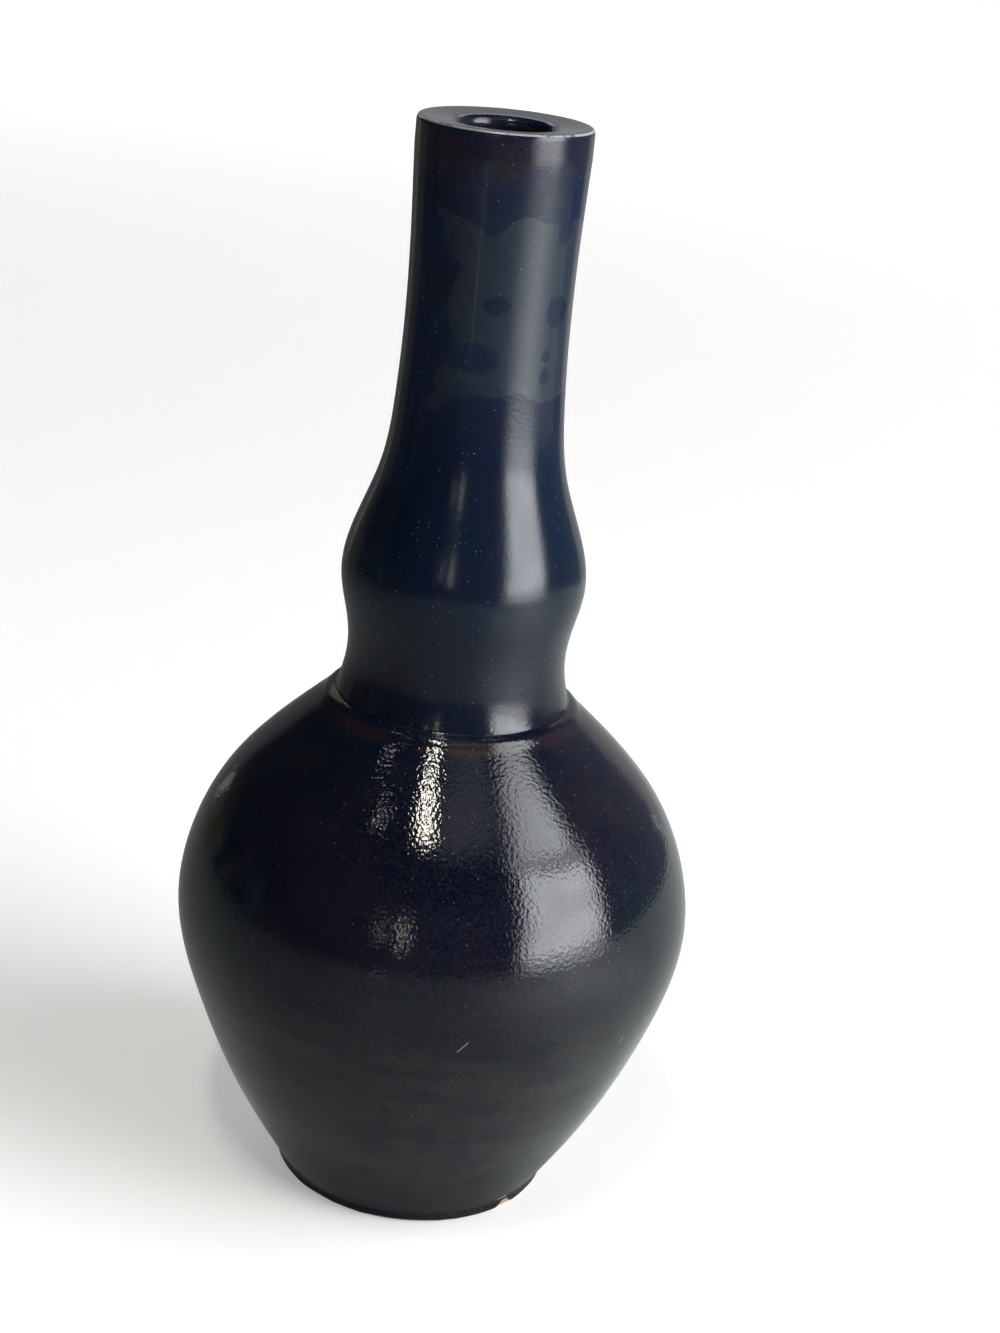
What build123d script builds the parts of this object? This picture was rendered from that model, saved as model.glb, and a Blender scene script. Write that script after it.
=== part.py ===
from build123d import *
import os

# Gourd vase of glazed stoneware. It is thrown in two parts, a round lower body and a neck with a small
# bulb, which are luted together at the collar with a coil of clay and glazed inside and out.
# Millimetres, +Z up, origin at the centre of the circle that the foot stands on.
# Radii are of the bare clay, from the axis. Each rise is a step up from the station before it.

# Turned foot
foot_radius = 30.6
foot_band_rise = 3.0
foot_bevel = 0.8
foot_ring_width = 6.0
recess_depth = 3.5
recess_rounding = 1.5

# Outline of the lower body, from the foot band up to the seam
flank_rise = 21.0
flank_radius = 42.9
underbelly_rise = 22.0
underbelly_radius = 52.15
belly_rise = 20.0
belly_radius = 56.6
high_belly_rise = 12.0
high_belly_radius = 54.85
shoulder_rise = 14.0
shoulder_radius = 48.7
slope_rise = 11.0
slope_radius = 39.6
seam_rise = 11.0
seam_radius = 27.9

# Coil of clay worked into the corner where the neck stands on the shoulder
coil_height = 2.4
coil_width = 3.0
coil_bulge = 0.45

# Outline of the neck section, from the top of the coil up to the rim
collar_rise = 7.6
collar_radius = 23.3
bulb_foot_rise = 9.0
bulb_foot_radius = 23.8
bulb_rise = 10.0
bulb_radius = 25.7
bulb_top_rise = 13.0
bulb_top_radius = 22.95
neck_root_rise = 11.0
neck_root_radius = 19.2
low_neck_rise = 15.0
low_neck_radius = 17.2
neck_rise = 25.0
neck_radius = 16.6
rim_rise = 27.0
rim_radius = 17.5

# Lip, which falls gently inwards, and the straight throat below it
lip_rise = 5.6
lip_fall = 0.9
lip_rounding = 1.6
throat_radius = 10.2
throat_rounding = 1.2
throat_depth = 7.6

# Inside of the clay
floor_thickness = 7.0
floor_radius = 16.0
body_wall = 6.0
neck_wall = 5.4

# Glaze coats, and the height above the table where the outer one stops
glaze_thickness = 0.6
liner_thickness = 0.5
glaze_line = 1.0

# Levels that follow from the rises
flank_height = foot_band_rise + flank_rise
underbelly_height = flank_height + underbelly_rise
belly_height = underbelly_height + belly_rise
high_belly_height = belly_height + high_belly_rise
shoulder_height = high_belly_height + shoulder_rise
slope_height = shoulder_height + slope_rise
seam_height = slope_height + seam_rise
coil_top = seam_height + coil_height
collar_height = coil_top + collar_rise
bulb_foot_height = collar_height + bulb_foot_rise
bulb_height = bulb_foot_height + bulb_rise
bulb_top_height = bulb_height + bulb_top_rise
neck_root_height = bulb_top_height + neck_root_rise
low_neck_height = neck_root_height + low_neck_rise
neck_height = low_neck_height + neck_rise
rim_height = neck_height + rim_rise
lip_height = rim_height + lip_rise
throat_bottom = lip_height - throat_depth
floor_height = recess_depth + floor_thickness

recess_radius = foot_radius - foot_ring_width
neck_foot_radius = seam_radius - coil_width
joint_radius = neck_foot_radius - neck_wall

# The two guide curves, drawn once through the stations, that every wall and coat follows
with BuildLine() as body_guide:
    Spline(
        (foot_radius, foot_band_rise),
        (flank_radius, flank_height),
        (underbelly_radius, underbelly_height),
        (belly_radius, belly_height),
        (high_belly_radius, high_belly_height),
        (shoulder_radius, shoulder_height),
        (slope_radius, slope_height),
        (seam_radius, seam_height),
    )

with BuildLine() as neck_guide:
    Spline(
        (neck_foot_radius, coil_top),
        (collar_radius, collar_height),
        (bulb_foot_radius, bulb_foot_height),
        (bulb_radius, bulb_height),
        (bulb_top_radius, bulb_top_height),
        (neck_root_radius, neck_root_height),
        (low_neck_radius, low_neck_height),
        (neck_radius, neck_height),
        (rim_radius, rim_height),
    )

body_curve = body_guide.edges()[0]
neck_curve = neck_guide.edges()[0]


def beside(curve, gap, start=0.0, stop=1.0, count=18):
    """Points evenly spaced along a guide curve and moved square to it, outwards by the gap."""
    points = []
    for step in range(count):
        place = start + (stop - start) * step / (count - 1)
        along = curve % place
        points.append(curve @ place + Vector(along.Y, -along.X) * gap)
    return points


# Outer lines, each with a coat's thickness outside the clay

def body_outside(coat):
    return Spline(*beside(body_curve, coat))


def neck_outside(coat):
    return Spline(*beside(neck_curve, coat))


def coil_outside(coat):
    low = beside(body_curve, coat)[-1]
    high = beside(neck_curve, coat)[0]
    along = (high - low).normalized()
    crest = (low + high) * 0.5 + Vector(along.Y, -along.X) * coil_bulge
    return ThreePointArc(low, crest, high)


def lip_outside(coat):
    return FilletPolyline(
        beside(neck_curve, coat)[-1],
        (rim_radius + coat, lip_height + coat),
        (throat_radius - coat, lip_height - lip_fall + coat),
        (throat_radius - coat, throat_bottom),
        radius=[lip_rounding + coat, throat_rounding + coat],
    )


# Inner lines, each with a coat's thickness inside the clay

def body_inside(coat):
    wall = beside(body_curve, -(body_wall + coat), start=0.15, stop=0.88, count=7)
    floor_edge = (floor_radius, floor_height + coat)
    joint_edge = (joint_radius - coat, seam_height)
    return Spline(floor_edge, *wall, joint_edge, tangents=[(1, 0), body_curve % 1], tangent_scalars=[0.9, 0.5])


def neck_inside(coat):
    wall = beside(neck_curve, -(neck_wall + coat), start=0.08, stop=0.82, count=8)
    joint_edge = (joint_radius - coat, seam_height)
    throat_edge = (throat_radius - coat, throat_bottom)
    return Spline(joint_edge, *wall, throat_edge, tangents=[(0, 1), (0, 1)], tangent_scalars=[0.5, 0.5])


# Lower body: floor on a turned foot ring, round belly, shoulder closing to a flat land for the neck
with BuildPart() as lower_body:
    with BuildSketch(Plane.XZ):
        with BuildLine():
            outside = body_outside(0)
            inside = body_inside(0)
            Polyline(
                (0, recess_depth),
                (recess_radius, recess_depth),
                (recess_radius, 0),
                (foot_radius - foot_bevel, 0),
                (foot_radius, foot_bevel),
                outside @ 0,
            )
            Line(outside @ 1, inside @ 1)
            Polyline(inside @ 0, (0, floor_height), (0, recess_depth))
        make_face()
        recess_corner = vertices().filter_by_position(Axis.Y, recess_depth, recess_depth).sort_by(Axis.X)[-1]
        fillet(recess_corner, recess_rounding)
    revolve(axis=Axis.Z)
lower_body.part.label = "lower_body"

# Neck section: foot on the land, collar, bulb, long neck and thick lip, all one thrown piece
with BuildPart() as neck_section:
    with BuildSketch(Plane.XZ):
        with BuildLine():
            inside = neck_inside(0)
            outside = neck_outside(0)
            Polyline(inside @ 0, (neck_foot_radius, seam_height), outside @ 0)
            lip_outside(0)
        make_face()
    revolve(axis=Axis.Z)
neck_section.part.label = "neck_section"

# Seam coil: lies on the land against the foot of the neck, pressed to a low round bead
with BuildPart() as seam_coil:
    with BuildSketch(Plane.XZ):
        with BuildLine():
            bead = coil_outside(0)
            Polyline(bead @ 0, (neck_foot_radius, seam_height), bead @ 1)
        make_face()
    revolve(axis=Axis.Z)
seam_coil.part.label = "seam_coil"

# Outer glaze: one coat from the glaze line on the foot, over the coil and the lip, down to the throat's end
with BuildPart() as outer_glaze:
    with BuildSketch(Plane.XZ):
        with BuildLine():
            for coat in (0, glaze_thickness):
                wall = body_outside(coat)
                coil_outside(coat)
                neck_outside(coat)
                lip_outside(coat)
                Line((foot_radius + coat, glaze_line), wall @ 0)
            Line((foot_radius, glaze_line), (foot_radius + glaze_thickness, glaze_line))
            Line((throat_radius, throat_bottom), (throat_radius - glaze_thickness, throat_bottom))
        make_face()
    revolve(axis=Axis.Z)
outer_glaze.part.label = "outer_glaze"

# Liner glaze: the coat poured inside, over the floor and the walls up to the throat
with BuildPart() as liner_glaze:
    with BuildSketch(Plane.XZ):
        with BuildLine():
            for coat in (0, liner_thickness):
                body_inside(coat)
                neck_inside(coat)
                Line((0, floor_height + coat), (floor_radius, floor_height + coat))
            Line((0, floor_height), (0, floor_height + liner_thickness))
            Line((throat_radius, throat_bottom), (throat_radius - liner_thickness, throat_bottom))
        make_face()
    revolve(axis=Axis.Z)
liner_glaze.part.label = "liner_glaze"

os.makedirs("parts", exist_ok=True)
for piece in (lower_body, neck_section, seam_coil, outer_glaze, liner_glaze):
    export_step(piece.part, f"parts/{piece.part.label}.step")
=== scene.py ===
import bpy
import bmesh
import math
import numpy as np
from mathutils import Matrix, Vector


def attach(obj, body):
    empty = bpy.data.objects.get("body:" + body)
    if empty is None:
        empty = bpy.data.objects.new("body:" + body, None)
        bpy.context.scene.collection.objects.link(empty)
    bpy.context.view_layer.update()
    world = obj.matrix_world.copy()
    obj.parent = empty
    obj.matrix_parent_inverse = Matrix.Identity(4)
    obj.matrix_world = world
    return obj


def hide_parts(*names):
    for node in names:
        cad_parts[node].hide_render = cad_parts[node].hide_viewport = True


# Glazed stoneware gourd vase. Shapes are in millimetres, as (radius, height) from the foot's centre.
# Finishes, the lathe and the stage are in metres.
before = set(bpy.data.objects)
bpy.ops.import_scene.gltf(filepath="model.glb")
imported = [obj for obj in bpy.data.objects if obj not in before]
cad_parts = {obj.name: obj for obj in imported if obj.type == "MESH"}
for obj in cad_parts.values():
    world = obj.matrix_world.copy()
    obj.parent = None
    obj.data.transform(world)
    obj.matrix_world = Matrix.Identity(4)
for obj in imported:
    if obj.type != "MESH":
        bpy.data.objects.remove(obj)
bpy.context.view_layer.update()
mm = 0.001
print("frame loaded with nodes", sorted(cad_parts))


class Wire:  # one output socket, with the operators that the shaders and trees use
    def __init__(self, tree, socket=None):
        self.tree, self.socket = tree, socket

    def node(self, kind, settings=None, sockets=None, out=0):
        made = self.tree.nodes.new(kind)
        for key, value in (settings or {}).items():
            if key == "stops":  # a colour ramp, as (place, colour) pairs
                ramp = made.color_ramp
                while len(ramp.elements) < len(value):
                    ramp.elements.new(0.5)
                for element, (place, colour) in zip(ramp.elements, value):
                    element.position, element.color = place, (*colour, 1)
            else:
                setattr(made, key, value)
        for key, value in (sockets or {}).items():
            if isinstance(value, Wire):
                self.tree.links.new(value.socket, made.inputs[key])
            else:
                made.inputs[key].default_value = value
        return Wire(self.tree, made.outputs[out])

    def other(self, out):  # another output of the same node
        return Wire(self.tree, self.socket.node.outputs[out])

    def math(self, operation, *values):
        return self.node("ShaderNodeMath", {"operation": operation}, dict(enumerate(values)))

    def __add__(self, value):
        return self.math("ADD", self, value)

    def __radd__(self, value):
        return self.math("ADD", value, self)

    def __sub__(self, value):
        return self.math("SUBTRACT", self, value)

    def __rsub__(self, value):
        return self.math("SUBTRACT", value, self)

    def __mul__(self, value):
        return self.math("MULTIPLY", self, value)

    def __truediv__(self, value):
        return self.math("DIVIDE", self, value)

    def __rtruediv__(self, value):
        return self.math("DIVIDE", value, self)

    def __pow__(self, value):
        return self.math("POWER", self, value)

    def __neg__(self):
        return self.math("MULTIPLY", self, -1)

    def most(self, value):
        return self.math("MAXIMUM", self, value)

    def least(self, value):
        return self.math("MINIMUM", self, value)

    def clear(self):  # held between 0 and 1
        return self.node("ShaderNodeClamp", {}, {0: self})

    def rise(self, low, high):  # 0 below low, 1 above high, smooth between
        sockets = {0: self, 1: low, 2: high}
        return self.node("ShaderNodeMapRange", {"interpolation_type": "SMOOTHSTEP"}, sockets)

    def band(self, low, high, soft):  # 1 between low and high
        return self.rise(low - soft, low) * (1 - self.rise(high, high + soft))

    def split(self):
        first = self.node("ShaderNodeSeparateXYZ", {}, {0: self})
        return first, first.other(1), first.other(2)

    def join(self, x, y, z):
        return self.node("ShaderNodeCombineXYZ", {}, {0: x, 1: y, 2: z})

    def along(self, operation, *values, out=0):  # vector maths
        sockets = {(3 if operation == "SCALE" and n == 1 else n): v for n, v in enumerate(values)}
        return self.node("ShaderNodeVectorMath", {"operation": operation}, sockets, out)

    def blendColour(self, factor, first, second):
        first, second = [(*c, 1) if isinstance(c, tuple) else c for c in (first, second)]
        return self.node("ShaderNodeMix", {"data_type": "RGBA"}, {0: factor, 6: first, 7: second}, 2)

    def place(self):  # where the shaded point lies
        return self.node("ShaderNodeTexCoord", {}, {}, "Object")

    def noise(self, place, scale, detail=2.0, roughness=0.5):
        sockets = {"Vector": place, "Scale": scale, "Detail": detail, "Roughness": roughness}
        return self.node("ShaderNodeTexNoise", {}, sockets)

    def cells(self, place, scale):  # how far the nearest of many scattered points is
        return self.node("ShaderNodeTexVoronoi", {"feature": "F1"}, {"Vector": place, "Scale": scale})

    def chances(self):  # three random numbers for each cell
        first = self.node("ShaderNodeSeparateColor", {}, {0: self.other("Color")})
        return first, first.other(1), first.other(2)

    def bump(self, height, distance):
        return self.node("ShaderNodeBump", {}, {"Strength": 1.0, "Distance": distance, "Height": height})


def newMaterial(name):
    made = bpy.data.materials.new(name)
    made.use_nodes = True
    made.node_tree.nodes.clear()
    return made, Wire(made.node_tree)


def finishMaterial(wire, shader):
    end = wire.tree.nodes.new("ShaderNodeOutputMaterial")
    wire.tree.links.new(shader.socket, end.inputs["Surface"])


def finishGlow(wire, colour, strength=1.0):
    finishMaterial(wire, wire.node("ShaderNodeEmission", {}, {"Color": colour, "Strength": strength}))


bodyShape = {  # bare clay of the lower body
    "stations": [(30.6, 3), (42.9, 24), (52.15, 46), (56.6, 66), (54.85, 78), (48.7, 92), (39.6, 103),
                 (27.9, 114)],
    "bellyRadius": 56.6, "joint": (19.5, 114.0),
    "footRadius": 30.6, "footTop": 3, "bevel": 0.8, "footRounding": 0.5,
    "ringWidth": 6.0, "recessDepth": 3.5, "recessRounding": 1.5,
    "recessRipple": (0.1225, 1.9, 3),  # height, width and the quiet middle's radius
    "floorHeight": 10.5, "floorRadius": 16.0, "wall": 6.0,
    "floorLead": 4, "floorInset": 5,  # the wall's line starts, and the level floor ends, this far inside
    "insidePoints": slice(15, 89, 12),  # which of 101 points of the outline the inside follows
}
neckShape = {  # bare clay of the neck section
    "stations": [(24.9, 116.4), (23.3, 124), (23.8, 133), (25.7, 143), (22.95, 156), (19.2, 167), (17.2, 182),
                 (16.6, 207), (17.5, 234)],
    "coilBulge": 0.45, "wall": 5.4, "insidePoints": slice(8, 83, 10),
    "rimRadius": 17.5, "lipHeight": 239.6, "lipFall": 0.9, "lipRounding": 1.6,
    "throatRadius": 10.2, "throatRounding": 1.2, "throatBottom": 232.0,
    "lipEdge": 0.9, "lipEdgeDrop": 0.09,  # the glaze gathers on the lip and makes its edge tighter
}
lineSteps = {"outside": 400, "inside": 260, "guide": 101, "coil": 30, "corner": 14}


def lengthAlong(line):
    return np.concatenate([[0], np.cumsum(np.hypot(*np.diff(line, axis=0).T))])


def smoothLine(stations, count):  # cubic spline through the stations, evenly stepped by chord length
    p = np.array(stations, float)
    t = lengthAlong(p)
    h, last = np.diff(t), len(p) - 1
    rows, bends = np.eye(last + 1), np.zeros((last + 1, 2))
    for i in range(1, last):
        rows[i, i - 1:i + 2] = h[i - 1], 2 * (h[i - 1] + h[i]), h[i]
        bends[i] = 6 * ((p[i + 1] - p[i]) / h[i] - (p[i] - p[i - 1]) / h[i - 1])
    m = np.linalg.solve(rows, bends)
    s = np.linspace(0, t[-1], count)
    k = np.clip(np.searchsorted(t, s, "right") - 1, 0, last - 1)
    u, step = ((s - t[k]) / h[k])[:, None], h[k][:, None]
    curved = ((1 - u) ** 3 - (1 - u)) * m[k] + (u ** 3 - u) * m[k + 1]
    return (1 - u) * p[k] + u * p[k + 1] + step ** 2 / 6 * curved


def beside(line, gap):  # the line moved square to itself, outwards for a line that climbs
    along = np.gradient(line, axis=0)
    along /= np.hypot(*along.T)[:, None]
    return line + gap * np.column_stack([along[:, 1], -along[:, 0]])


def corner(before, at, after, radius, count=lineSteps["corner"]):  # a rounded corner
    before, at, after = (np.array(p, float) for p in (before, at, after))
    a, b = before - at, after - at
    a, b = a / np.hypot(*a), b / np.hypot(*b)
    half = math.acos(float(np.dot(a, b))) / 2
    middle = at + (a + b) / np.hypot(*(a + b)) * radius / math.sin(half)
    start, end = at + a * radius / math.tan(half), at + b * radius / math.tan(half)
    points = []
    for u in np.linspace(0, 1, count):
        way = (start - middle) * (1 - u) + (end - middle) * u
        points.append(middle + way / np.hypot(*way) * radius)
    return np.array(points)


def settle(line, step, reach=0.0):  # even small steps, then melted over a short reach
    length = lengthAlong(line)
    s = np.arange(0, length[-1], step)
    even = np.column_stack([np.interp(s, length, line[:, 0]), np.interp(s, length, line[:, 1])])
    if reach <= 0:
        return even
    width = int(3 * reach / step)
    weight = np.exp(-0.5 * (np.arange(-width, width + 1) * step / reach) ** 2)
    weight /= weight.sum()
    ends = np.concatenate([2 * even[0] - even[width:0:-1], even, 2 * even[-1] - even[-2:-width - 2:-1]])
    return np.column_stack([np.convolve(ends[:, n], weight, "valid") for n in (0, 1)])


def pickRows(line, count, care):  # rows crowd together where the line bends
    along = np.gradient(line, axis=0)
    turn = np.abs(np.gradient(np.unwrap(np.arctan2(along[:, 1], along[:, 0]))))
    weight = np.concatenate([[0], np.cumsum(np.hypot(*np.diff(line, axis=0).T) + care * turn[1:])])
    place = np.interp(np.linspace(0, weight[-1], count), weight, np.arange(len(line)))
    return np.column_stack([np.interp(place, np.arange(len(line)), line[:, n]) for n in (0, 1)])


def bodyOutside(coat):
    return beside(smoothLine(bodyShape["stations"], lineSteps["outside"]), coat)


def neckOutside(coat):
    return beside(smoothLine(neckShape["stations"], lineSteps["outside"]), coat)


def coilOutside(coat):  # the bead in the corner between shoulder and neck
    low, high = bodyOutside(coat)[-1], neckOutside(coat)[0]
    out = np.array([high[1] - low[1], low[0] - high[0]])
    out /= np.hypot(*out)
    u = np.linspace(0, 1, lineSteps["coil"])[1:-1, None]
    return low + (high - low) * u + out * neckShape["coilBulge"] * 4 * u * (1 - u)


def lipOutside(coat):  # a coat above 0 is the glaze's outer face, with its tighter and lower edge
    n = neckShape
    top = n["lipHeight"] + coat - (n["lipEdgeDrop"] if coat > 0 else 0)
    rounding = n["lipEdge"] if coat > 0 else n["lipRounding"] + coat
    rim, edge = (n["rimRadius"] + coat, top), (n["throatRadius"] - coat, top - n["lipFall"])
    low = (n["throatRadius"] - coat, n["throatBottom"])
    return np.concatenate([corner(neckOutside(coat)[-1], rim, edge, rounding),
                           corner(rim, edge, low, n["throatRounding"] + coat), [low]])


def insideWall(shape, coat):
    guide = smoothLine(shape["stations"], lineSteps["guide"])
    return beside(guide, -(shape["wall"] + coat))[shape["insidePoints"]]


def insideJoint(coat):
    return bodyShape["joint"][0] - coat, bodyShape["joint"][1]


def bodyInside(coat):
    radius, height = bodyShape["floorRadius"], bodyShape["floorHeight"] + coat
    floor = [(radius - bodyShape["floorLead"], height), (radius, height)]
    return smoothLine([*floor, *insideWall(bodyShape, coat), insideJoint(coat)], lineSteps["inside"])


def neckInside(coat):
    throat = (neckShape["throatRadius"] - coat, neckShape["throatBottom"])
    return smoothLine([insideJoint(coat), *insideWall(neckShape, coat), throat], lineSteps["inside"])


weld, sliver = 2e-6, 1e-7  # points closer than the first are one, faces thinner than the second go
latheLook = {
    "sizes": {"Ring Depth": 0.0, "Ring Spacing": 0.009, "Waver": 0.0, "Waver Size": 0.05, "Edge Wander": 0.0,
              "Bare Spot": 0.0, "Bare Spot Angle": 0.0, "Seed": 0.0},
    "around": 300, "wanderScale": 2.6, "spotReach": (0.02, 0.085),  # radians from the spot's middle
    "ringScale": 0.6, "ringSlant": 0.25,
}


def latheTree():  # one Geometry Nodes tree that turns every piece
    look = latheLook
    tree = bpy.data.node_groups.new("lathe", "GeometryNodeTree")
    tree.is_modifier = True
    face = tree.interface
    face.new_socket("Section", in_out="INPUT", socket_type="NodeSocketGeometry")
    face.new_socket("Around", in_out="INPUT", socket_type="NodeSocketInt").default_value = look["around"]
    for name, value in look["sizes"].items():
        face.new_socket(name, in_out="INPUT", socket_type="NodeSocketFloat").default_value = value
    face.new_socket("Finish", in_out="INPUT", socket_type="NodeSocketMaterial")
    face.new_socket("Piece", in_out="OUTPUT", socket_type="NodeSocketGeometry")
    given = {socket.name: Wire(tree, socket) for socket in tree.nodes.new("NodeGroupInput").outputs}
    w = Wire(tree)
    section, around = given["Section"], given["Around"]

    # a grid with one row for each point of the section, bent round the axis
    rows = w.node("GeometryNodeAttributeDomainSize", {"component": "MESH"}, {0: section})
    rowsClosed = rows + 1
    grid = w.node("GeometryNodeMeshGrid", {}, {"Size X": 1.0, "Size Y": 1.0, "Vertices X": around + 1,
                                               "Vertices Y": rowsClosed})
    index = w.node("GeometryNodeInputIndex")
    row = w.math("MODULO", w.math("MODULO", index, rowsClosed), rows)
    angle = w.math("FLOOR", index / rowsClosed) / around * math.tau

    def stored(name):
        return w.node("GeometryNodeInputNamedAttribute", {"data_type": "FLOAT"}, {"Name": name})

    def sampled(kind, value):  # what the section's point on this row has
        sockets = {"Geometry": section, "Index": row, "Value": value}
        return w.node("GeometryNodeSampleIndex", {"data_type": kind}, sockets)

    radius, _, height = sampled("FLOAT_VECTOR", w.node("GeometryNodeInputPosition")).split()
    shown, edge = sampled("FLOAT", stored("shown")), sampled("FLOAT", stored("edge"))
    across, deep = w.math("COSINE", angle), w.math("SINE", angle)
    ring = w.join(across, deep, given["Seed"])
    wander = (w.noise(ring, look["wanderScale"], 3.0) - 0.5) * 2 * given["Edge Wander"]
    off = w.math("ABSOLUTE", w.math("WRAP", angle - given["Bare Spot Angle"], -math.pi, math.pi))
    bare = (1 - off.rise(*look["spotReach"])) * given["Bare Spot"]
    bentPlace = w.join(radius * across, radius * deep, height + edge * (wander + bare))
    bent = w.node("GeometryNodeSetPosition", {}, {"Geometry": grid, "Position": bentPlace})
    kept = w.node("GeometryNodeStoreNamedAttribute", {"data_type": "FLOAT", "domain": "POINT"},
                  {"Geometry": bent, "Name": "shown", "Value": shown})
    whole = w.node("GeometryNodeMergeByDistance", {}, {"Geometry": kept, "Distance": weld})

    # hand-thrown rings and a slow waver, along the surface's own normal
    place = w.node("GeometryNodeInputPosition")
    x, y, z = place.split()
    flat = w.join(x * look["ringSlant"], y * look["ringSlant"], z)
    rings = w.noise(flat, look["ringScale"] / given["Ring Spacing"], 2.0, 0.45) - 0.5
    elsewhere = w.along("ADD", place, w.join(given["Seed"], 0.3, 0.7))
    slow = w.noise(elsewhere, 1 / given["Waver Size"], 2.0) - 0.5
    relief = rings * 2 * given["Ring Depth"] + slow * 2 * given["Waver"]
    push = w.along("SCALE", w.node("GeometryNodeInputNormal"), relief * stored("shown"))
    pushed = w.node("GeometryNodeSetPosition", {}, {"Geometry": whole, "Offset": push})
    smooth = w.node("GeometryNodeSetShadeSmooth", {}, {"Geometry": pushed, "Shade Smooth": True})
    real = w.node("GeometryNodeRealizeInstances", {}, {"Geometry": smooth})
    finish = w.node("GeometryNodeSetMaterial", {}, {"Geometry": real, "Material": given["Finish"]})
    tree.links.new(finish.socket, tree.nodes.new("NodeGroupOutput").inputs["Piece"])
    return tree


lathe = latheTree()


def closeMesh(mesh):  # weld the seam and the poles, turn normals outward, count what stays open
    work = bmesh.new()
    work.from_mesh(mesh)
    bmesh.ops.remove_doubles(work, verts=work.verts, dist=weld)
    bmesh.ops.dissolve_degenerate(work, dist=sliver, edges=work.edges)
    bmesh.ops.delete(work, geom=[e for e in work.edges if not e.link_faces], context="EDGES")
    bmesh.ops.recalc_face_normals(work, faces=work.faces)
    if work.calc_volume(signed=True) < 0:
        bmesh.ops.reverse_faces(work, faces=work.faces)
    openEdges = sum(1 for e in work.edges if len(e.link_faces) != 2)
    work.to_mesh(mesh)
    work.free()
    return openEdges


def turnPiece(name, section, shown, edge, finish, sizes):  # sizes are the tree's named inputs
    base = bpy.data.meshes.new(name + "Section")
    count = len(section)
    loop = [(n, (n + 1) % count) for n in range(count)]
    base.from_pydata([(r * mm, 0, z * mm) for r, z in section], loop, [])
    for label, values in (("shown", shown), ("edge", edge)):
        carried = base.attributes.new(label, "FLOAT", "POINT")
        carried.data.foreach_set("value", np.array(values, np.float32))
    holder = bpy.data.objects.new(name + "Lathe", base)
    bpy.context.collection.objects.link(holder)
    modifier = holder.modifiers.new("lathe", "NODES")
    modifier.node_group = lathe
    keys = {item.name: item.identifier for item in lathe.interface.items_tree if item.in_out == "INPUT"}
    for label, value in {**sizes, "Finish": finish}.items():
        modifier[keys[label]] = value
    turned = holder.evaluated_get(bpy.context.evaluated_depsgraph_get())
    made = bpy.data.meshes.new_from_object(turned)
    bpy.data.objects.remove(holder)
    openEdges = closeMesh(made)
    made.name = name
    made.materials.clear()
    made.materials.append(finish)
    piece = bpy.data.objects.new(name, made)
    bpy.context.collection.objects.link(piece)
    triangles = sum(len(p.vertices) - 2 for p in made.polygons)
    print(name, triangles, "triangles,", openEdges, "open edges")
    return piece


glazeLook = {
    "navy": (0.0006, 0.0062, 0.0180), "neckNavy": (0.0001, 0.0072, 0.0300), "ink": (0.0008, 0.0020, 0.0066),
    "violet": (0.0050, 0.0034, 0.0085), "teal": (0.0006, 0.0052, 0.0082), "ash": (0.0125, 0.0132, 0.0122),
    # the bloom colour is the satin patch's own, lightened further as a painted haze of reflected light
    # the lip colour is a pale line at the lip's edge: the glaze breaking pale there, and a painted highlight
    "rust": (0.0160, 0.0094, 0.0112), "lip": (0.34, 0.33, 0.30), "bloom": (0.0058, 0.0116, 0.0240),
    "blueGrain": (0.0026, 0.0075, 0.0240), "brownGrain": (0.0150, 0.0110, 0.0150),
    "paleGrain": (0.030, 0.032, 0.029), "speck": (0.16, 0.18, 0.20),
    "gloss": 0.065, "bulbGloss": 0.17, "satin": 0.28, "index": 1.45, "bloomCoat": 0.42,
    "cloudWear": 0.03, "streakWear": 0.03, "speckWear": 0.3,  # what each adds to the roughness
    "peelHeight": 0.000058, "neckCalm": 0.68, "lowPeel": 0.55,  # less peel on the neck and low on the belly
    "sway": 0.02, "breakSway": 0.006, "beadSway": 0.1,  # how far clouds shift the zones; the bead's share
    "streakStretch": 0.06, "bandStretch": 0.12, "tealShift": (0.31, 0.12, 0.05),
}
glazeScales = {  # how many forms of each texture fit in a metre
    "drift": 26.0, "teal": 32.0, "cloud": 85.0, "islands": 120.0, "bands": 260.0, "streaks": 420.0,
    "ragged": 700.0, "specks": 900.0, "peel": 1250.0, "grain": 2500.0,
}
glazeMasks = {  # at which value of its texture each layer starts and is full
    "violet": (0.42, 0.62), "teal": (0.52, 0.66), "ash": (0.36, 0.60), "shoulder": (0.45, 0.6),
    "breaks": (0.30, 0.62), "lip": (0.25, 0.5), "islands": (0.54, 0.62), "blueGrain": (0.45, 0.95),
    "brownGrain": (0.45, 0.95), "paleGrain": (0.40, 0.95), "specks": (0.70, 0.98), "speckSize": (0.05, 0.16),
}
glazeShares = {  # how much of its colour each layer lays on
    "teal": 0.9, "bead": 0.9, "shoulder": 0.45, "rim": 0.8, "islands": 0.3, "specks": 0.6,
    "blueGrain": 0.5, "brownGrain": 0.5, "paleGrain": 0.06, "ashGrain": 0.34,
    "bloom": 0.72, "bloomStreaks": 0.16,
    "violetLoss": 0.55, "brownLoss": 0.85, "speckGain": 0.16,  # what the neck has less or more of
}
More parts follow.
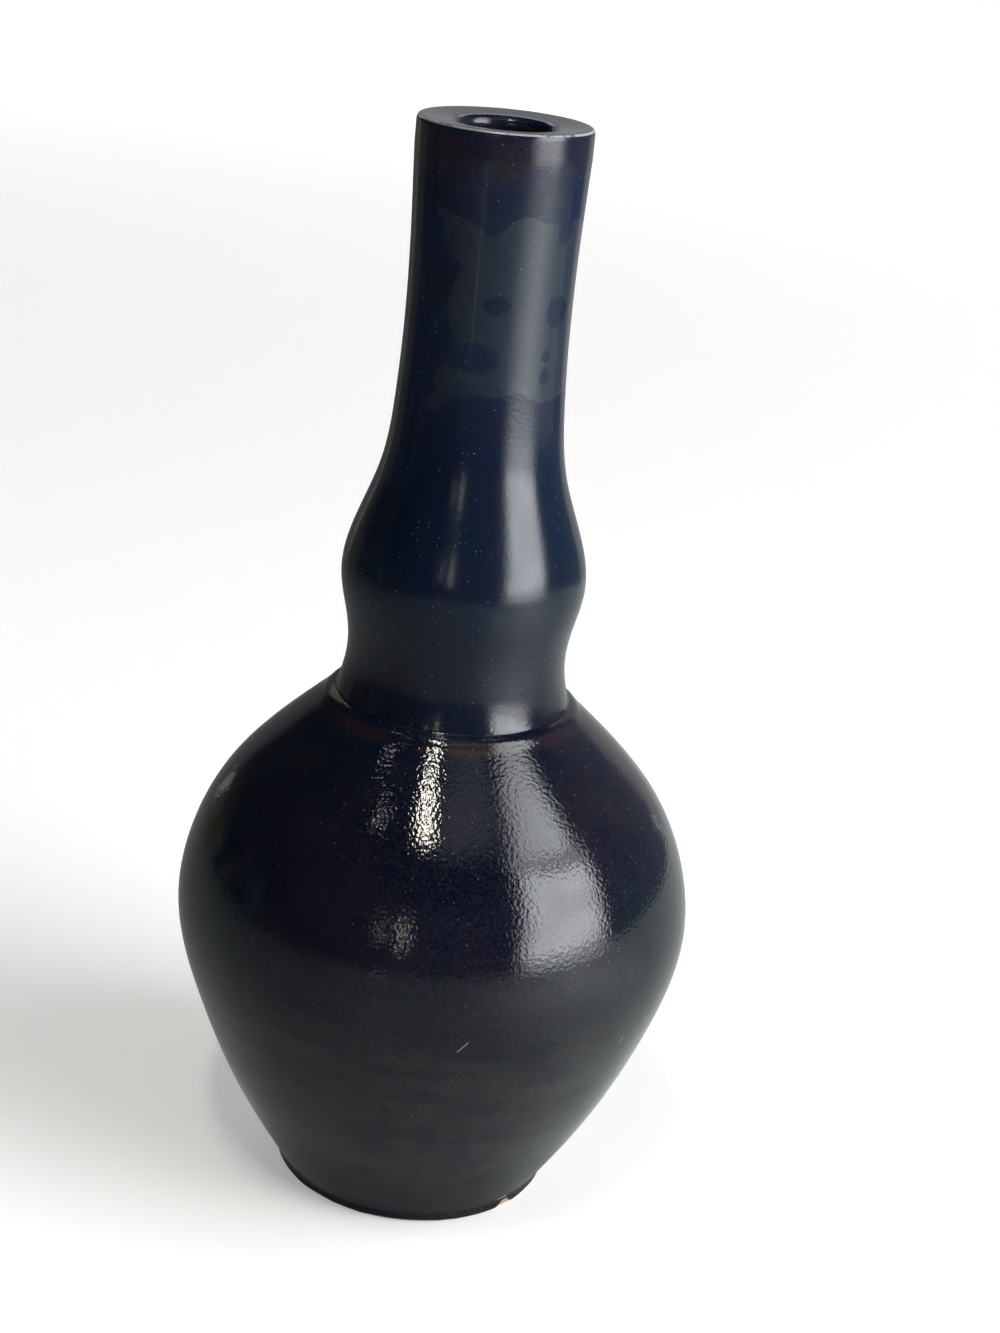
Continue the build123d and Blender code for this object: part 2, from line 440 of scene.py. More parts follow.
glazeZones = {  # heights where the glaze changes, as (from, to) or (from, to, soft)
    "blue": (0.100, 0.145), "bluer": (0.165, 0.190), "teal": (0.070, 0.106, 0.02), "ash": (0.050, 0.078),
    "bead": (0.1136, 0.1152, 0.0008), "shoulder": (0.1000, 0.1130, 0.006), "rim": (0.2325, 0.2378, 0.0025),
    "islands": (0.186, 0.233, 0.008), "collar": (0.112, 0.122), "neckPeel": (0.113, 0.120),
    "bellyPeel": (0.060, 0.090),
    "paleLipLineAndHighlight": (257.28, 257.37),  # radius plus height in millimetres, which is greatest at the lip's edge; the pale line there is glaze breaking pale and a painted highlight
}
neckBloom = {  # where the satin patch lies on the neck: degrees from the front, millimetres up
    "low": 184.5, "high": 223.5, "middle": 80.0, "reach": 115.0, "radius": 17.4,
    "lobe": 8.5, "lobeSmooth": 0.35, "lobeRandom": 0.9, "lobeEven": 0.38, "lobeDepth": 9,
    "patchRagged": 0.8, "patchSoft": 0.9, "markRagged": 0.9, "markSoft": (-0.05, 0.3), "markShare": 0.92,
    "ovals": [(52, 221.3, 2.4, 3.4), (54, 204.4, 3.9, 3.6), (5, 205.8, 3.0, 2.0), (-8, 194.8, 6.2, 3.4),
              (46, 195.4, 1.3, 1.6), (46, 191.2, 1.5, 1.8), (140, 213.0, 3.5, 4.2), (171, 198.0, 4.4, 3.0)],
}
scratches = {  # degrees from the front and millimetres up, at both ends
    "ends": [(8.1, 59.1, 10.1, 61.5), (50.9, 52.9, 51.6, 54.2)], "width": (0.06, 0.16),
}


def bloomMask(w, place, x, y, z):  # lobed patch less the oval finger marks, with faint islands beside it
    n = neckBloom
    turn = w.math("ARCTAN2", x, -y)
    fromMiddle = w.math("COSINE", turn - math.radians(n["middle"]))
    side = (fromMiddle - math.cos(math.radians(n["reach"]))) * n["radius"]
    height = z * 1000
    inside = side.least(height - n["low"]).least(n["high"] - height)
    lobes = w.node("ShaderNodeTexVoronoi", {"feature": "SMOOTH_F1"},
                   {"Vector": place, "Scale": 1000 / n["lobe"], "Smoothness": n["lobeSmooth"],
                    "Randomness": n["lobeRandom"]})
    ragged = w.noise(place, glazeScales["ragged"], 3.0) - 0.5
    outline = inside + (n["lobeEven"] - lobes) * n["lobeDepth"] + ragged * n["patchRagged"]
    patch = outline.rise(0.0, n["patchSoft"])
    marks = None
    for degrees, level, wide, tall in n["ovals"]:
        across = (turn - math.radians(degrees)) * (n["radius"] / wide)
        upright = (height - level) / tall
        within = 1.0 + ragged * n["markRagged"] - (across * across + upright * upright) ** 0.5
        mark = within.rise(*n["markSoft"])
        marks = mark if marks is None else marks.most(mark)
    spread = w.noise(place, glazeScales["islands"], 3.0, 0.6).rise(*glazeMasks["islands"])
    islands = spread * z.band(*glazeZones["islands"]) * glazeShares["islands"]
    return (patch * (1 - marks * n["markShare"])).most(islands).clear()


def scratchMask(w, x, y, z):
    around = bodyShape["bellyRadius"]
    here = w.join(w.math("ARCTAN2", x, -y) * around, z * 1000, 0.0)
    marks = None
    for a, low, b, high in scratches["ends"]:
        start = np.array([math.radians(a) * around, low, 0])
        way = np.array([math.radians(b) * around, high, 0]) - start
        off = w.along("SUBTRACT", here, tuple(start))
        part = (w.along("DOT_PRODUCT", off, tuple(way), out=1) / float(way @ way)).clear()
        gap = w.along("LENGTH", w.along("SUBTRACT", off, w.along("SCALE", tuple(way), part)), out=1)
        mark = 1 - gap.rise(*scratches["width"])
        marks = mark if marks is None else marks.most(mark)
    return marks


def glazeMaterial():
    look, scale, zone, mask, share = glazeLook, glazeScales, glazeZones, glazeMasks, glazeShares
    made, w = newMaterial("darkGlaze")
    place = w.place()
    x, y, z = place.split()
    drift = w.noise(place, scale["drift"], 3.0, 0.55)
    cloud = w.noise(place, scale["cloud"], 3.0, 0.6)
    streaks = w.noise(w.join(x, y, z * look["streakStretch"]), scale["streaks"], 2.0, 0.6)
    uneven = cloud - 0.5
    level = z + uneven * look["sway"]

    # blue neck, blacker belly, drifts of violet and teal, grey at the foot
    high = level.rise(*zone["blue"])
    upper = w.blendColour(z.rise(*zone["bluer"]), look["navy"], look["neckNavy"])
    ground = w.blendColour(high, look["ink"], upper)
    violet = (drift * 0.6 + cloud * 0.4).rise(*mask["violet"]) * (1 - high * share["violetLoss"])
    ground = w.blendColour(violet.clear(), ground, look["violet"])
    teal = w.noise(w.along("ADD", place, look["tealShift"]), scale["teal"], 3.0, 0.6).rise(*mask["teal"])
    ground = w.blendColour(teal * z.band(*zone["teal"]) * share["teal"], ground, look["teal"])
    stretch = look["bandStretch"]
    bands = w.noise(w.join(x * stretch, y * stretch, z), scale["bands"], 3.0, 0.6)
    low = ((1 - level.rise(*zone["ash"])) * (bands * 0.5 + cloud * 0.5).rise(*mask["ash"])).clear()
    ground = w.blendColour(low, ground, look["ash"])

    # grain of single coloured cells, paler where the ash lies
    blue, brown, pale = w.cells(place, scale["grain"]).chances()
    blue = blue.rise(*mask["blueGrain"]) * share["blueGrain"]
    brown = brown.rise(*mask["brownGrain"]) * (1 - high * share["brownLoss"]) * share["brownGrain"]
    pale = pale.rise(*mask["paleGrain"]) * (share["paleGrain"] + low * share["ashGrain"])
    ground = w.blendColour(blue, ground, look["blueGrain"])
    ground = w.blendColour(brown, ground, look["brownGrain"])
    ground = w.blendColour(pale, ground, look["paleGrain"])

    # rust where the glaze breaks: on the bead's edge, on the shoulder below it and under the rim
    warp = uneven * look["breakSway"]
    bead = (z + warp * look["beadSway"]).band(*zone["bead"]) * share["bead"]
    shoulder = (z + warp).band(*zone["shoulder"]) * drift.rise(*mask["shoulder"]) * share["shoulder"]
    rim = (z + warp).band(*zone["rim"]) * share["rim"]
    breaks = bead.most(shoulder).most(rim) * cloud.rise(*mask["breaks"])
    ground = w.blendColour(breaks.clear(), ground, look["rust"])
    # a pale line along the lip's edge: the glaze breaking pale there, and a painted highlight
    reach = ((x * x + y * y) ** 0.5 + z) * 1000
    ground = w.blendColour(reach.rise(*zone["paleLipLineAndHighlight"]) * streaks.rise(*mask["lip"]), ground, look["lip"])

    # satin bloom on the neck, its colour the patch's own and lightened further as painted haze, then specks
    # and scratches
    bloom = bloomMask(w, place, x, y, z)
    ground = w.blendColour(bloom * (share["bloom"] + streaks * share["bloomStreaks"]), ground, look["bloom"])
    specks = w.cells(place, scale["specks"])
    chosen = (specks.chances()[0] + high * share["speckGain"]).rise(*mask["specks"]) * share["specks"]
    dots = ((1 - specks.rise(*mask["speckSize"])) * chosen).most(scratchMask(w, x, y, z))
    ground = w.blendColour(dots, ground, look["speck"])

    calm = look["gloss"] + z.rise(*zone["collar"]) * (look["bulbGloss"] - look["gloss"])
    wear = (streaks - 0.5) * bloom * look["streakWear"] + uneven * look["cloudWear"]
    roughness = calm + bloom * (look["satin"] - calm) + (wear + dots * look["speckWear"])

    # orange peel, strongest on the shoulder
    deep = look["lowPeel"] + z.rise(*zone["bellyPeel"]) * (1 - look["lowPeel"])
    deep = (1 - z.rise(*zone["neckPeel"]) * look["neckCalm"]) * deep
    peel = w.bump(w.noise(place, scale["peel"], 1.0, 0.5) * deep, look["peelHeight"])
    finishMaterial(w, w.node("ShaderNodeBsdfPrincipled", {}, {
        "Base Color": ground, "Roughness": roughness, "IOR": look["index"], "Normal": peel,
        "Coat Weight": bloom * look["bloomCoat"], "Coat Roughness": look["gloss"],
        "Coat IOR": look["index"]}))
    return made


clayLook = {
    "pale": (0.46, 0.37, 0.29), "toasted": (0.30, 0.20, 0.14), "grit": (0.12, 0.09, 0.07),
    "cloudScale": 55.0, "toast": (0.35, 0.7), "gritScale": 700.0, "gritSize": (0.10, 0.22), "gritShare": 0.6,
    "grainScale": 1600.0, "lineScale": 900.0, "bumpHeight": 0.0002,
    "roughness": 0.82, "grainWear": 0.1, "index": 1.5,
}


def clayMaterial():
    look = clayLook
    made, w = newMaterial("bareClay")
    place = w.place()
    x, y, z = place.split()
    toast = w.noise(place, look["cloudScale"], 4.0, 0.6).rise(*look["toast"])
    grain = w.noise(place, look["grainScale"], 2.0, 0.7)
    colour = w.blendColour(toast, look["pale"], look["toasted"])
    grit = 1 - w.cells(place, look["gritScale"]).rise(*look["gritSize"])
    colour = w.blendColour(grit * look["gritShare"], colour, look["grit"])
    radius = (x * x + y * y) ** 0.5
    lines = w.noise(w.join(radius, 0.0, z), look["lineScale"], 2.0)  # left by the turning tool
    roughness = look["roughness"] + grain * look["grainWear"]
    finishMaterial(w, w.node("ShaderNodeBsdfPrincipled", {}, {
        "Base Color": colour, "Roughness": roughness, "IOR": look["index"],
        "Normal": w.bump(grain * 0.5 + lines * 0.5, look["bumpHeight"])}))
    return made


darkGlaze = glazeMaterial()
bareClay = clayMaterial()
print("finishes made")

# How each piece is turned, in millimetres: coats and their bite into the clay, rows along the section and the
# care with which they crowd at bends, where the throwing rings show, and the lathe's inputs in metres.
outerLook = {
    "coat": 0.56, "bite": 0.1, "rows": 285, "innerRows": 40, "care": 9.0, "innerCare": 20.0,
    "step": 0.12, "innerStep": 0.5, "melt": 0.4,
    "edgeHeight": 0.75, "edgeTop": 3.0, "edgeRounding": 0.45, "edgeReach": 1.6,
    "ringsFrom": 2.0, "ringsFull": 10, "ringsTo": 239.0, "ringsFade": 6, "ringsLeast": 0.15,
    "sizes": {"Around": 288, "Ring Depth": 0.00005, "Ring Spacing": 0.010, "Waver": 0.00015,
              "Waver Size": 0.055, "Edge Wander": 0.0005, "Bare Spot": 0.0013,
              "Bare Spot Angle": math.radians(-43), "Seed": 3.0},
}
linerLook = {
    "coats": [(0.5, 120), (-0.1, 60)],  # thickness and rows of the face that is seen and of the hidden one
    "step": 0.5, "care": 6.0, "ringsTo": 225, "ringsFade": 15,
    "sizes": {"Around": 160, "Ring Depth": 0.00012, "Ring Spacing": 0.008, "Waver": 0.0, "Seed": 5.0},
}
clayTurning = {
    "rows": 60, "care": 4.0, "recessRows": 70, "ringsFrom": 3, "floorRows": 6,
    "sizes": {"Around": 240, "Ring Depth": 0.00008, "Ring Spacing": 0.003, "Waver": 0.00015,
              "Waver Size": 0.02, "Seed": 9.0},
}


def makeGlazeCoat():
    o = outerLook
    foot, coat, bite = bodyShape["footRadius"], o["coat"], o["bite"]
    roll = corner((foot, o["edgeHeight"]), (foot + coat, o["edgeHeight"]), (foot + coat, o["edgeTop"]),
                  o["edgeRounding"], 8)
    outside = np.concatenate([roll, bodyOutside(coat), coilOutside(coat), neckOutside(coat),
                              lipOutside(coat)])
    outside = pickRows(settle(outside, o["step"], o["melt"]), o["rows"], o["care"])
    inside = np.concatenate([[(foot - bite, o["edgeTop"])], bodyOutside(-bite), coilOutside(-bite),
                             neckOutside(-bite), lipOutside(-bite)])
    inside = pickRows(settle(inside, o["innerStep"]), o["innerRows"], o["innerCare"])
    section = np.concatenate([[(foot - bite, o["edgeHeight"] + 0.1)], outside, inside[::-1]])
    shown = np.zeros(len(section))
    height = outside[:, 1]
    fadeIn = np.clip((height - o["ringsFrom"]) / o["ringsFull"], 0, 1)
    shown[1:len(outside) + 1] = fadeIn * np.clip((o["ringsTo"] - height) / o["ringsFade"], o["ringsLeast"], 1)
    edge = np.clip((o["edgeTop"] - section[:, 1]) / o["edgeReach"], 0, 1)
    return turnPiece("glazeCoat", section, shown, edge, darkGlaze, o["sizes"])


def makeLinerCoat():
    b, o = bodyShape, linerLook
    lines = []
    for thick, rows in o["coats"]:
        floor = [(r, b["floorHeight"] + thick) for r in np.linspace(0, b["floorRadius"] - b["floorInset"], 8)]
        line = np.concatenate([floor, bodyInside(thick), neckInside(thick)[1:]])
        lines.append(pickRows(settle(line, o["step"]), rows, o["care"]))
        lines[-1][0][0] = 0
    seen, hidden = lines
    section = np.concatenate([seen, hidden[::-1]])
    shown = np.clip((o["ringsTo"] - seen[:, 1]) / o["ringsFade"], 0, 1)
    shown = np.concatenate([shown, np.zeros(len(hidden))])
    shown[0] = 0
    return turnPiece("linerCoat", section, shown, np.zeros(len(section)), darkGlaze, o["sizes"])


def makeLowerBody():
    b, o = bodyShape, clayTurning
    foot, inner, bevel, deep = b["footRadius"], b["footRadius"] - b["ringWidth"], b["bevel"], b["recessDepth"]
    ripple, width, quiet = b["recessRipple"]
    recess = [(r, deep + ripple * math.cos(r / width) * min(1, r / quiet))
              for r in np.linspace(0, inner - b["recessRounding"] - 0.2, o["recessRows"])]
    ring = [corner((0, deep), (inner, deep), (inner, 0), b["recessRounding"], 8),
            corner((inner, deep), (inner, 0), (foot, 0), b["footRounding"], 5),
            corner((inner, 0), (foot - bevel, 0), (foot, bevel), b["footRounding"], 4),
            corner((foot - bevel, 0), (foot, bevel), (foot, b["footTop"]), b["footRounding"], 4)]
    outside = pickRows(bodyOutside(0), o["rows"], o["care"])
    inside = pickRows(bodyInside(0), o["rows"], o["care"])[::-1]
    floor = [(r, b["floorHeight"])
             for r in np.linspace(b["floorRadius"] - b["floorInset"], 0, o["floorRows"])]
    section = np.concatenate([recess, *ring, outside, inside, floor])
    shown = np.zeros(len(section))
    shown[o["ringsFrom"]:o["recessRows"]] = 1
    return turnPiece("lowerBodyClay", section, shown, np.zeros(len(section)), bareClay, o["sizes"])


glazeCoat = makeGlazeCoat()
linerCoat = makeLinerCoat()
lowerBodyClay = makeLowerBody()
for name in ("neck_section", "seam_coil"):
    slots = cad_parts[name].data.materials
    slots.clear()
    slots.append(bareClay)
print("pieces turned")

stageLook = {
    "floorRadius": 8.0, "floorTurns": 128,
    "floorColour": (0.80, 0.79, 0.77), "floorStain": (0.78, 0.77, 0.75),
    "glow": (0.31, 0.74), "glowReach": (0.5, 2.8),  # the floor's own glow for direct rays, near and far
    "background": 0.94, "ambient": (0.10, 0.11, 0.125),
    "domeRadius": 4.0, "domeRows": 12, "domeTurns": 48,
}
# The table as reflections see it: glowing cards with the window's light and the vase's shadow painted into
# their tones. Azimuths run from straight behind the vase, growing to the right.
tableLook = {
    "edge": [(38.5, 0.62, 0), (51, 0.68, 0), (65, 0.95, 0), (80, 1.25, 0), (96, 1.35, 0.002),
             (115, 0.95, 0.030), (190, 0.93, 0.030), (205, 1.0, 0.015), (220, 1.1, 0), (245, 1.05, 0),
             (262, 1.0, 0), (283, 0.75, 0), (310, 0.62, 0), (321.5, 0.60, 0)],  # azimuth, distance, height
    "near": [(0, 0.42), (20, 0.56), (70, 0.70), (100, 0.54), (150, 0.39), (185, 0.34), (230, 0.29),
             (270, 0.34), (310, 0.26), (345, 0.23), (360, 0.42)],  # azimuth and tone close to the foot, with painted window light on the right and painted shadow of the vase on the left
    "far": [(0, 0.52), (40, 0.78), (80, 0.72), (98, 1.4), (118, 2.6), (138, 1.2), (152, 0.50), (180, 0.32),
            (205, 0.26), (235, 0.11), (260, 0.045), (320, 0.045), (345, 0.09), (360, 0.52)],
    "farReach": 0.9,  # the distance that the far tones are for
    # the window's light on the table and on the floor beyond it: azimuths, soft, tones; reaches are distances
    "sheen": (108, 134, 36, 0.55), "sheenReach": (0.26, 0.42, 0.18),
    "spill": (112, 127, 22, 3.6, 7.4), "spillReach": (0.95, 1.5),
    "glint": (199, 0.7, 2.6), "glintReach": (0.5, 0.75),  # a thin streak: azimuth, width, tone
    "shade": 0.42, "shadeReach": (0.031, 0.048),  # painted contact shadow: how dark the table is against the foot
    "tint": (0.93, 1.0, 0.960), "brightest": 4,
    "start": 0.0308, "end": 3.95, "lift": 0.0004, "steps": 160, "backSteps": 40,
    "backCard": (0.37, 0.47, 0.46),  # half width, distance and height of the card behind
    "backTones": (0.13, 0.46, 0.43), "backFade": (-0.12, 0.05), "topFade": (0.24, 0.29),  # left, right, top
}
roomLook = {  # what the dark surround shows: azimuth from, to, elevation from, to, soft, colour
    "dark": (0.012, 0.015, 0.024),
    "patches": [(30, 92, -20, 36, 8, (0.155, 0.185, 0.240)), (138, 200, -20, 24, 8, (0.09, 0.085, 0.12)),
                (74, 92, 30, 64, 10, (0.10, 0.13, 0.20)), (200, 262, -20, 22, 10, (0.03, 0.03, 0.045)),
                (250, 330, 5, 60, 14, (0.010, 0.017, 0.030)), (300, 352, -20, -2, 8, (0.14, 0.14, 0.13)),
                (-50, 410, 80, 92, 4, (0.42, 0.42, 0.43)), (132, 172, 61, 67, 13, (0.60, 0.62, 0.64)),
                # things in the dark room, which show small at the left
                (305, 312, -3, 1, 2, (0.095, 0.085, 0.025)), (302, 318, 3, 8, 3, (0.060, 0.042, 0.032)),
                (281, 287, -3, 4, 2, (0.070, 0.065, 0.045)), (262, 266, -3, 9, 2, (0.08, 0.11, 0.18)),
                (272, 278, 4, 12, 3, (0.055, 0.055, 0.080)), (246, 257, -3, 5, 4, (0.045, 0.038, 0.050))],
}


def direction(azimuth, elevation=0.0):  # azimuth from straight behind, growing to the right
    a, e = math.radians(azimuth), math.radians(elevation)
    return Vector((math.sin(a) * math.cos(e), math.cos(a) * math.cos(e), math.sin(e)))


def stageMesh(name, points, faces, material):
    mesh = bpy.data.meshes.new(name)
    mesh.from_pydata([tuple(p) for p in points], [], faces)
    mesh.materials.append(material)
    made = bpy.data.objects.new(name, mesh)
    bpy.context.collection.objects.link(made)
    return made


def onlyInReflections(obj):
    obj.visible_camera = obj.visible_diffuse = obj.visible_shadow = False


def seenDirectly(w):  # 1 for what the camera, a mirror or a glass shows
    path = w.node("ShaderNodeLightPath")
    camera, glossy = path.other("Is Camera Ray"), path.other("Is Glossy Ray")
    return camera.most(glossy).most(path.other("Is Transmission Ray"))


def makeFloor():
    look = stageLook
    made, w = newMaterial("paleFloor")
    place = w.place()
    x, y, _ = place.split()
    colour = w.blendColour(w.noise(place, 3.0, 2.0) * 0.06, look["floorColour"], look["floorStain"])
    lit = w.node("ShaderNodeBsdfPrincipled", {}, {"Base Color": colour, "Roughness": 0.9,
                                                  "Specular IOR Level": 0.1})
    near, far = look["glow"]
    glow = near + ((x * x + y * y) ** 0.5).rise(*look["glowReach"]) * (far - near)
    glow = w.node("ShaderNodeEmission", {}, {"Color": (1, 1, 1, 1), "Strength": seenDirectly(w) * glow})
    finishMaterial(w, w.node("ShaderNodeAddShader", {}, {0: lit, 1: glow}))
    count = look["floorTurns"]
    ring = [direction(n * 360 / count) * look["floorRadius"] for n in range(count)]
    stageMesh("floor", ring, [list(range(count))[::-1]], made)


def roomColour(w):  # the surround's colour by direction
    x, y, z = w.place().split()
    elevation = w.math("ARCTAN2", z, (x * x + y * y) ** 0.5) * (180 / math.pi)
    azimuth = w.math("ARCTAN2", x, y) * (180 / math.pi)
    azimuth = azimuth + (1 - azimuth.rise(-0.01, 0.01)) * 360
    colour = roomLook["dark"]
    for left, right, low, top, soft, tint in roomLook["patches"]:
        mask = azimuth.band(left, right, soft) * elevation.band(low, top, soft)
        colour = w.blendColour(mask, colour, tint)
    return colour


def makeDome():
    look = stageLook
    made, w = newMaterial("darkSurround")
    finishGlow(w, roomColour(w))
    rows, count = look["domeRows"], look["domeTurns"]
    points = [direction(n * 360 / count, row * 90 / rows - 0.5) * look["domeRadius"]
              for row in range(rows + 1) for n in range(count)]
    faces = []
    for row in range(rows):
        low, high = row * count, (row + 1) * count
        faces += [(low + n, low + (n + 1) % count, high + (n + 1) % count, high + n) for n in range(count)]
    onlyInReflections(stageMesh("darkSurround", points, faces, made))


def aroundVase(w):  # azimuth as a share of a turn, and the distance from the axis
    x, y, _ = w.place().split()
    turn = w.math("FRACT", w.math("ARCTAN2", x, y) / math.tau + 1.0)
    return turn, (x * x + y * y) ** 0.5


def tableMaterial():
    t = tableLook
    made, w = newMaterial("paleTable")
    turn, radius = aroundVase(w)
    azimuth, most = turn * 360, t["brightest"]
    # painted light and shade: the vase's shadow against the foot and to the left, the window's light on the
    # right
    near, far = [w.node("ShaderNodeValToRGB", {"stops": [(a / 360, (v / most,) * 3) for a, v in t[key]]},
                        {0: turn}) for key in ("near", "far")]
    reach = (radius / t["farReach"]).clear()
    shade = t["shade"] + radius.rise(*t["shadeReach"]) * (1 - t["shade"])
    tone = near * (1 - reach) * shade + far * reach
    left, right, soft, bright = t["sheen"]
    tone = tone + azimuth.band(left, right, soft) * radius.band(*t["sheenReach"]) * (bright / most)
    middle, wide, bright = t["glint"]
    streak = azimuth.band(middle - wide / 4, middle + wide / 4, wide / 2)
    tone = tone + streak * radius.rise(*t["glintReach"]) * (bright / most)
    finishGlow(w, (*t["tint"], 1), tone * most)
    return made


def beyondMaterial():  # the dark room past the table, with the floor that the window lights
    made, w = newMaterial("darkRoom")
    turn, radius = aroundVase(w)
    left, right, soft, close, away = tableLook["spill"]
    spill = close + radius.rise(*tableLook["spillReach"]) * (away - close)
    lit = (turn * 360).band(left, right, soft)
    finishGlow(w, w.blendColour(lit, roomColour(w), w.join(spill, spill, spill)))
    return made


def backCardMaterial():
    made, w = newMaterial("backCard")
    x, _, z = w.place().split()
    left, right, upper = tableLook["backTones"]
    tone = left + x.rise(*tableLook["backFade"]) * (right - left)
    tone = tone + z.rise(*tableLook["topFade"]) * (upper - tone)
    finishGlow(w, (1, 1, 1, 1), tone)
    return made


def strip(name, material, lower, upper):  # a band of faces between two lines of points
    points = [p for pair in zip(lower, upper) for p in pair]
    faces = [(2 * n, 2 * n + 1, 2 * n + 3, 2 * n + 2) for n in range(len(lower) - 1)]
    onlyInReflections(stageMesh(name, points, faces, material))


def makeTable():
    t = tableLook
    pale, dark, card = tableMaterial(), beyondMaterial(), backCardMaterial()
    lift = Vector((0, 0, t["lift"]))
    edge = np.array(t["edge"])
    turns = np.linspace(edge[0, 0], edge[-1, 0], t["steps"])
    reach, high = [np.interp(turns, edge[:, 0], edge[:, k]) for k in (1, 2)]
    low = [direction(a) * r + lift for a, r in zip(turns, reach)]
    top = [p + Vector((0, 0, h)) for p, h in zip(low, high)]
    strip("paleTable", pale, [direction(a) * t["start"] + lift for a in turns], low)
    strip("tableEdge", pale, low, top)
    strip("darkBeyond", dark, top, [direction(a) * t["end"] + Vector((0, 0, h)) for a, h in zip(turns, high)])
    turns = np.linspace(edge[-1, 0] - 360, edge[0, 0], t["backSteps"])
    half, far, tall = t["backCard"]
    strip("paleTableBack", pale, [direction(a) * t["start"] + lift for a in turns],
          [direction(a) * (far / math.cos(math.radians(a))) + lift for a in turns])
    strip("backCard", card, [Vector((-half, far, 0.001)), Vector((half, far, 0.001))],
          [Vector((-half, far, tall)), Vector((half, far, tall))])


# Lamps are panels, each given by the directions of its corners as the vase sees them: (azimuth, elevation),
# from the low left one round to the top left one, and by how softly its left, right, low and top edges end.
lampLook = {
    "distance": 2.4, "level": 0.08, "steps": 9, "day": (0.95, 0.98, 1.0), "warm": (1.0, 0.95, 0.85),
    "panes": {
        "lowPane": {"corners": [(146, -3), (96, -3), (88, 29), (137, 44)], "radiance": 11.0,
                    "soft": (0.26, 0.20, 0.18, 0.04), "fall": 0.12},
        "bar": {"corners": [(138, 44), (88, 29), (87, 33), (139, 49)], "radiance": 4.5,
                "soft": (0.15, 0.05, 0.01, 0.01), "fall": 0.0},
        "highPane": {"corners": [(140, 49), (86, 33), (78, 55), (122, 68)], "radiance": 8.8,
                     "soft": (0.48, 0.3, 0.03, 0.16), "fall": 0.3},
    },
    "sparks": [  # small warm lamps
        {"corners": [(-177, 56), (-168, 56), (-150, 72), (-166, 73)], "radiance": 40.0},
        {"corners": [(-106, 61), (-100, 61), (-100, 64), (-106, 64)], "radiance": 12.0},
        {"corners": [(-133, 56), (-127, 56), (-127, 59), (-133, 59)], "radiance": 10.0},
        {"corners": [(-170, 6), (-167.5, 6), (-167, 23), (-169.5, 23)], "radiance": 7.0},
        {"corners": [(-160, 8), (-158, 8), (-158, 21), (-160, 21)], "radiance": 3.5},
    ],
    "softTop": {"size": 2.6, "size_y": 1.4, "energy": 18.0, "color": (1.0, 0.99, 0.97)},
    "softTopPlace": (0, 2.8, 1.7), "softTopAim": (0, 2.2, 0),
}


def lampPanel(name, colour, corners, radiance, soft=(0.2, 0.2, 0.15, 0.15), fall=0.0):
    made, w = newMaterial(name)
    u, v, _ = w.node("ShaderNodeTexCoord", out="UV").split()
    left, right, low, top = soft
    mask = u.rise(0, left) * (1 - u.rise(1 - right, 1)) * v.rise(0, low) * (1 - v.rise(1 - top, 1))
    uneven = w.noise(w.place(), 1.6, 2.0).rise(0.2, 0.8) * 0.5 + 0.75
    finishGlow(w, (*colour, 1), uneven * radiance * (1 - v * fall) * mask)
    steps = lampLook["steps"]
    a, b, c, d = [np.array(p, float) for p in corners]
    cells = [(i / (steps - 1), j / (steps - 1)) for j in range(steps) for i in range(steps)]
    points = []
    for p, q in cells:
        towards = direction(*((a * (1 - p) + b * p) * (1 - q) + (d * (1 - p) + c * p) * q))
        points.append(Vector((0, 0, lampLook["level"])) + lampLook["distance"] * towards)
    corners = [n for n in range(steps * (steps - 1)) if n % steps < steps - 1]
    faces = [(n, n + 1, n + steps + 1, n + steps) for n in corners]
    panel = stageMesh(name, points, faces, made)
    layer = panel.data.uv_layers.new(name="panel")
    for loop in panel.data.loops:
        layer.data[loop.index].uv = cells[loop.vertex_index]
    panel.visible_camera = False


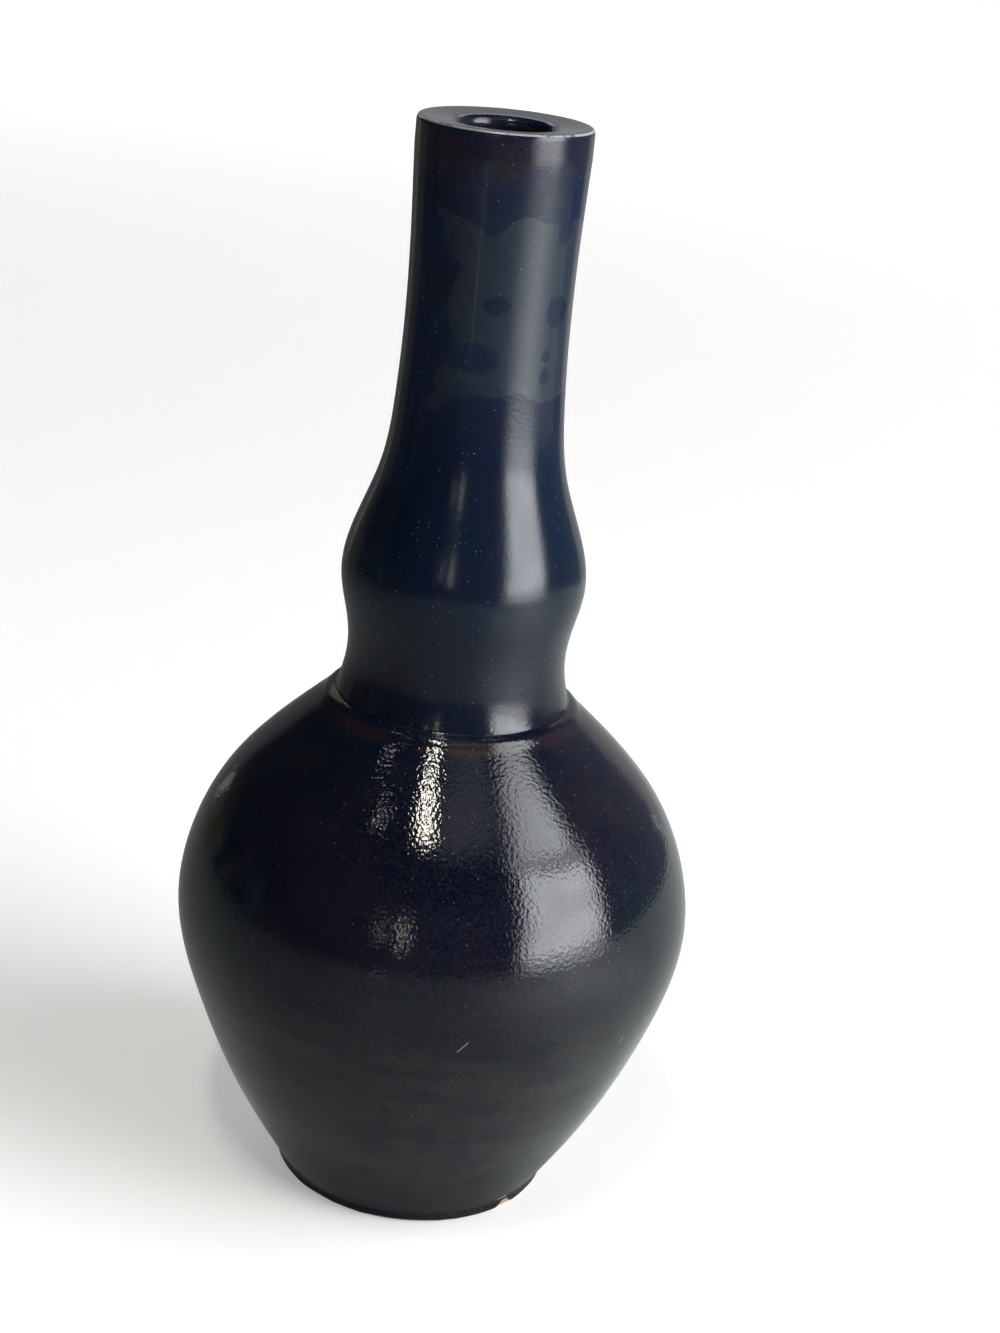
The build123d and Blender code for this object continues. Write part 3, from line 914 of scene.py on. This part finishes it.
def makeLights():
    look = lampLook
    for name, pane in look["panes"].items():
        lampPanel(name, look["day"], **pane)
    for n, spark in enumerate(look["sparks"]):
        lampPanel(f"spark{n}", look["warm"], **spark)
    data = bpy.data.lights.new("softTop", "AREA")  # lifts the floor; the front of the vase never mirrors it
    data.shape = "RECTANGLE"
    for key, value in look["softTop"].items():
        setattr(data, key, value)
    lamp = bpy.data.objects.new("softTop", data)
    lamp.location = look["softTopPlace"]
    lamp.rotation_mode = "QUATERNION"
    lamp.rotation_quaternion = (Vector(look["softTopAim"]) - lamp.location).to_track_quat("-Z", "Y")
    bpy.context.collection.objects.link(lamp)


def makeWorld():
    world = bpy.data.worlds.new("studio")
    bpy.context.scene.world = world
    world.use_nodes = True
    tree = world.node_tree
    tree.nodes.clear()
    w = Wire(tree)
    level = stageLook["background"]
    colour = w.blendColour(seenDirectly(w), stageLook["ambient"], (level, level, level))
    sky = w.node("ShaderNodeBackground", {}, {"Color": colour, "Strength": 1.0})
    tree.links.new(sky.socket, tree.nodes.new("ShaderNodeOutputWorld").inputs["Surface"])


cameraLook = {  # solved from the photograph's outline
    "place": (0, -0.47936, 0.30369), "lens": 63.465, "sensor": 36, "clip": (0.01, 100),
    "right": (0.99536176, 0.01541135, 0.09496025), "down": (0.09428233, -0.3525117, -0.93104583),
    "ahead": (0.01912593, 0.9356805, -0.35232968),
}


def makeCamera():
    look = cameraLook
    data = bpy.data.cameras.new("camera")
    data.sensor_fit, data.sensor_width, data.lens = "AUTO", look["sensor"], look["lens"]
    data.clip_start, data.clip_end = look["clip"]
    camera = bpy.data.objects.new("camera", data)
    right, down, ahead = [Vector(look[key]) for key in ("right", "down", "ahead")]
    turn = Matrix((right, -down, -ahead)).transposed().to_4x4()
    camera.matrix_world = Matrix.Translation(look["place"]) @ turn
    bpy.context.collection.objects.link(camera)
    bpy.context.scene.camera = camera


makeFloor()
makeDome()
makeTable()
makeLights()
makeWorld()
makeCamera()
bpy.context.scene.view_settings.view_transform = "Standard"
print("stage ready")

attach(glazeCoat, "root")
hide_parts("outer_glaze")
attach(linerCoat, "root")
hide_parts("liner_glaze")
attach(lowerBodyClay, "root")
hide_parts("lower_body")
